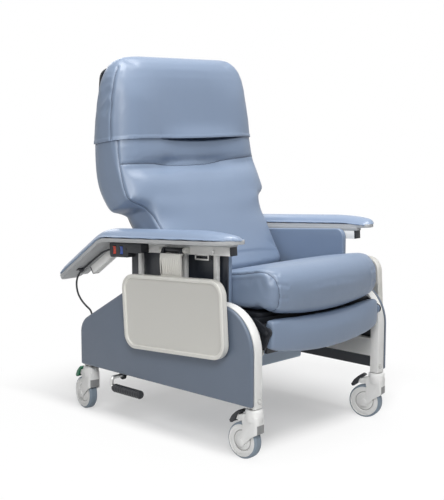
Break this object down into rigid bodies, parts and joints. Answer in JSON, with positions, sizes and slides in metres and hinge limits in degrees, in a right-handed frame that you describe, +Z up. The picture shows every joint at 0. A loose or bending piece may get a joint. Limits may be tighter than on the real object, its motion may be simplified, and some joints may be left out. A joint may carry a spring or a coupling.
{
  "type": "patient recliner chair",
  "caption": "Mobile care recliner: winged padded back, rolled seat, back-driven leg rest, padded arms with drop trays, tube side frames with vinyl panels, braked casters.",
  "frame": {"origin": "on the floor under the middle of the chair's bounding box", "axes": "+Z up, the chair faces -Y, the sitter's right is -X"},
  "size_m": [0.71, 0.8481, 1.129],
  "materials": {
    "white_paint": "satin powder coat",
    "white_plastic": "moulded, fine matt",
    "blue_vinyl": "soft upholstery vinyl with fine grain",
    "blue_panel": "vinyl stretched over a board",
    "black_steel": "black paint",
    "black_plastic": "moulded, matt",
    "zinc": "zinc plated",
    "plywood": "bare plywood",
    "tread": "grey-blue rubber",
    "cable_black": "smooth flexible sheath",
    "switch_blue": "moulded",
    "switch_red": "moulded",
    "brake_green": "moulded",
    "foam": "foam under upholstery vinyl"
  },
  "bodies": {
    "base": {"side_frame_right": "white_paint", "side_frame_left": "white_paint", "cross_tubes": "white_paint", "side_panel_right": "blue_panel", "side_panel_left": "blue_panel", "kick_panel": "blue_panel", "leg_plugs": "black_plastic", "frame_screws": "zinc", "arm_frame_right": "white_paint", "arm_frame_left": "white_paint", "arm_tube_plugs": "black_plastic", "arm_board_right": "white_plastic", "arm_board_left": "white_plastic", "arm_pad_right": "foam", "arm_pad_left": "foam", "arm_panel_right": "blue_panel", "arm_panel_left": "blue_panel", "control_box": "black_plastic", "control_cable": "cable_black", "cable_clips": "black_plastic", "tray_hinges": "black_steel", "tray_catches": "zinc", "pedal_bracket": "black_steel"},
    "seat": {"seat_frame": "black_steel", "seat_board": "plywood", "seat_cushion": "foam"},
    "back": {"back_frame": "black_steel", "back_shell": "black_plastic", "back_cushion": "foam", "head_cover": "blue_vinyl", "push_bar": "black_steel"},
    "legrest": {"legrest_board": "black_steel", "legrest_pad": "foam"},
    "links": {"drive_links": "zinc"},
    "gas_cylinder": {"gas_cylinder": "black_steel"},
    "gas_rod": {"gas_rod": "zinc"},
    "tray_right": {"tray_bracket_right": "white_plastic", "tray_right": "white_plastic"},
    "tray_left": {"tray_bracket_left": "white_plastic", "tray_left": "white_plastic"},
    "foot_pedal": {"pedal_lever": "zinc", "pedal_sleeve": "black_plastic"},
    "massage_rocker": {"massage_rocker": "switch_blue"},
    "heat_rocker": {"heat_rocker": "switch_red"},
    "fork_front_right": {"caster_fork_front_right": "white_plastic"},
    "wheel_front_right": {"caster_wheel_front_right": "white_plastic", "caster_tyre_front_right": "tread"},
    "brake_front_right": {"caster_pedal_front_right": "black_plastic"},
    "fork_front_left": {"caster_fork_front_left": "white_plastic"},
    "wheel_front_left": {"caster_wheel_front_left": "white_plastic", "caster_tyre_front_left": "tread"},
    "brake_front_left": {"caster_pedal_front_left": "black_plastic"},
    "fork_rear_right": {"caster_fork_rear_right": "white_plastic"},
    "wheel_rear_right": {"caster_wheel_rear_right": "white_plastic", "caster_tyre_rear_right": "tread"},
    "brake_rear_right": {"caster_pedal_rear_right": "brake_green"},
    "fork_rear_left": {"caster_fork_rear_left": "white_plastic"},
    "wheel_rear_left": {"caster_wheel_rear_left": "white_plastic", "caster_tyre_rear_left": "tread"},
    "brake_rear_left": {"caster_pedal_rear_left": "black_plastic"}
  },
  "joints": [
    {"name": "seat_tilt", "type": "hinge", "parent": "base", "child": "seat", "pos_m": [0, 0.292, 0.3], "axis": [-1, 0, 0], "range_deg": [0, 9]},
    {"name": "back_recline", "type": "hinge", "parent": "seat", "child": "back", "pos_m": [0, 0.115, 0.432], "axis": [-1, 0, 0], "range_deg": [0, 34]},
    {"name": "legrest_lift", "type": "hinge", "parent": "seat", "child": "legrest", "pos_m": [0, -0.392, 0.357], "axis": [-1, 0, 0], "range_deg": [0, 74.81]},
    {"name": "link_turn", "type": "hinge", "parent": "back", "child": "links", "pos_m": [0, 0.15387, 0.30486], "axis": [1, 0, 0], "range_deg": [0, 34]},
    {"name": "gas_swing", "type": "hinge", "parent": "base", "child": "gas_cylinder", "pos_m": [0, -0.01, 0.235], "axis": [-1, 0, 0], "range_deg": [0, 16.5]},
    {"name": "gas_extend", "type": "slide", "parent": "gas_cylinder", "child": "gas_rod", "axis": [0, -0.8283, 0.5603], "range_m": [0, 0.0403]},
    {"name": "tray_fold_right", "type": "hinge", "parent": "base", "child": "tray_right", "pos_m": [-0.306, -0.07784, 0.56092], "axis": [0, 0.9981, -0.061], "range_deg": [0, 90]},
    {"name": "tray_fold_left", "type": "hinge", "parent": "base", "child": "tray_left", "pos_m": [0.306, -0.11378, 0.56312], "axis": [0, -0.9981, 0.061], "range_deg": [0, 90]},
    {"name": "foot_pedal_press", "type": "hinge", "parent": "base", "child": "foot_pedal", "pos_m": [-0.268, 0.19, 0.14], "axis": [1, 0, 0], "range_deg": [0, 14], "stiffness_Nm_per_rad": 8, "springref_deg": -20.05},
    {"name": "massage_switch", "type": "hinge", "parent": "base", "child": "massage_rocker", "pos_m": [-0.32, 0.13343, 0.54249], "axis": [0, 0.9981, -0.061], "range_deg": [-8, 8]},
    {"name": "heat_switch", "type": "hinge", "parent": "base", "child": "heat_rocker", "pos_m": [-0.32, 0.16537, 0.54054], "axis": [0, 0.9981, -0.061], "range_deg": [-8, 8]},
    {"name": "swivel_front_right", "type": "hinge", "parent": "base", "child": "fork_front_right", "pos_m": [-0.283, -0.373, 0.13], "axis": [0, 0, 1], "continuous": true},
    {"name": "roll_front_right", "type": "hinge", "parent": "fork_front_right", "child": "wheel_front_right", "pos_m": [-0.28478, -0.33905, 0.052], "axis": [0.9986, 0.0523, 0], "continuous": true},
    {"name": "brake_front_right", "type": "hinge", "parent": "fork_front_right", "child": "brake_front_right", "pos_m": [-0.28624, -0.31108, 0.114], "axis": [0.9986, 0.0523, 0], "range_deg": [-14, 0]},
    {"name": "swivel_front_left", "type": "hinge", "parent": "base", "child": "fork_front_left", "pos_m": [0.283, -0.373, 0.13], "axis": [0, 0, 1], "continuous": true},
    {"name": "roll_front_left", "type": "hinge", "parent": "fork_front_left", "child": "wheel_front_left", "pos_m": [0.2742, -0.34016, 0.052], "axis": [0.9659, 0.2588, 0], "continuous": true},
    {"name": "brake_front_left", "type": "hinge", "parent": "fork_front_left", "child": "brake_front_left", "pos_m": [0.26695, -0.31311, 0.114], "axis": [0.9659, 0.2588, 0], "range_deg": [-14, 0]},
    {"name": "swivel_rear_right", "type": "hinge", "parent": "base", "child": "fork_rear_right", "pos_m": [-0.283, 0.338, 0.13], "axis": [0, 0, 1], "continuous": true},
    {"name": "roll_rear_right", "type": "hinge", "parent": "fork_rear_right", "child": "wheel_rear_right", "pos_m": [-0.2771, 0.37148, 0.052], "axis": [0.9848, -0.1736, 0], "continuous": true},
    {"name": "brake_rear_right", "type": "hinge", "parent": "fork_rear_right", "child": "brake_rear_right", "pos_m": [-0.27223, 0.39906, 0.114], "axis": [0.9848, -0.1736, 0], "range_deg": [-14, 0]},
    {"name": "swivel_rear_left", "type": "hinge", "parent": "base", "child": "fork_rear_left", "pos_m": [0.283, 0.338, 0.13], "axis": [0, 0, 1], "continuous": true},
    {"name": "roll_rear_left", "type": "hinge", "parent": "fork_rear_left", "child": "wheel_rear_left", "pos_m": [0.27827, 0.37167, 0.052], "axis": [0.9903, 0.1392, 0], "continuous": true},
    {"name": "brake_rear_left", "type": "hinge", "parent": "fork_rear_left", "child": "brake_rear_left", "pos_m": [0.27437, 0.3994, 0.114], "axis": [0.9903, 0.1392, 0], "range_deg": [-14, 0]}
  ],
  "couplings": [
    {"joint": "legrest_lift", "follows": "back_recline", "ratio": 2.2},
    {"joint": "link_turn", "follows": "back_recline", "ratio": 1},
    {"joint": "gas_swing", "follows": "seat_tilt", "ratio": 1.8005},
    {"joint": "gas_extend", "follows": "seat_tilt", "m_per_rad": 0.25118}
  ]
}
